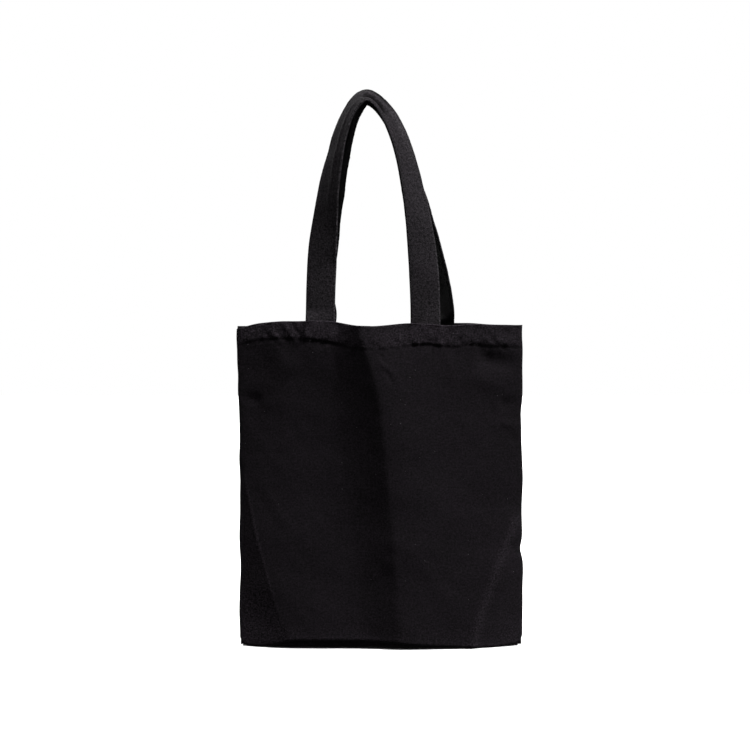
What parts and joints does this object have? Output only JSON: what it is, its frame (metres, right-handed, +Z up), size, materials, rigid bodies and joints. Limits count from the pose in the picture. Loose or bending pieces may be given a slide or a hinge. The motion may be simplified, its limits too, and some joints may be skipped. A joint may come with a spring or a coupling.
{
  "type": "canvas tote bag",
  "caption": "Open canvas tote bag with a turned hem and two long looped handles that stand upright and fold down over the front and back.",
  "frame": {"origin": "on the floor at the middle of the base", "axes": "+Z up through the handles, -Y out of the front panel, +X to the right seen from the front"},
  "size_m": [0.35, 0.08, 0.6919],
  "materials": {
    "black_canvas": "plain weave cotton canvas, matte",
    "strap_canvas": "folded cotton canvas, matte, with a slight sheen",
    "black_thread": "twisted thread, matte"
  },
  "bodies": {
    "bag": {"base_panel": "black_canvas", "front_panel": "black_canvas", "front_hem": "black_canvas", "front_base_seam": "black_canvas", "front_hem_stitching": "black_thread", "front_left_strap_end": "strap_canvas", "front_left_box_stitching": "black_thread", "front_right_strap_end": "strap_canvas", "front_right_box_stitching": "black_thread", "back_panel": "black_canvas", "back_hem": "black_canvas", "back_base_seam": "black_canvas", "back_hem_stitching": "black_thread", "back_left_strap_end": "strap_canvas", "back_left_box_stitching": "black_thread", "back_right_strap_end": "strap_canvas", "back_right_box_stitching": "black_thread", "left_side_seam": "black_canvas", "left_side_overlock": "black_thread", "right_side_seam": "black_canvas", "right_side_overlock": "black_thread"},
    "front_handle": {"front_strap": "strap_canvas", "front_strap_stitching": "black_thread"},
    "back_handle": {"back_strap": "strap_canvas", "back_strap_stitching": "black_thread"}
  },
  "joints": [
    {"name": "front_handle_fold", "type": "hinge", "parent": "bag", "child": "front_handle", "pos_m": [0, -0.0203, 0.401], "axis": [1, 0, 0], "range_deg": [0, 170]},
    {"name": "back_handle_fold", "type": "hinge", "parent": "bag", "child": "back_handle", "pos_m": [0, 0.0203, 0.401], "axis": [-1, 0, 0], "range_deg": [0, 170]}
  ]
}
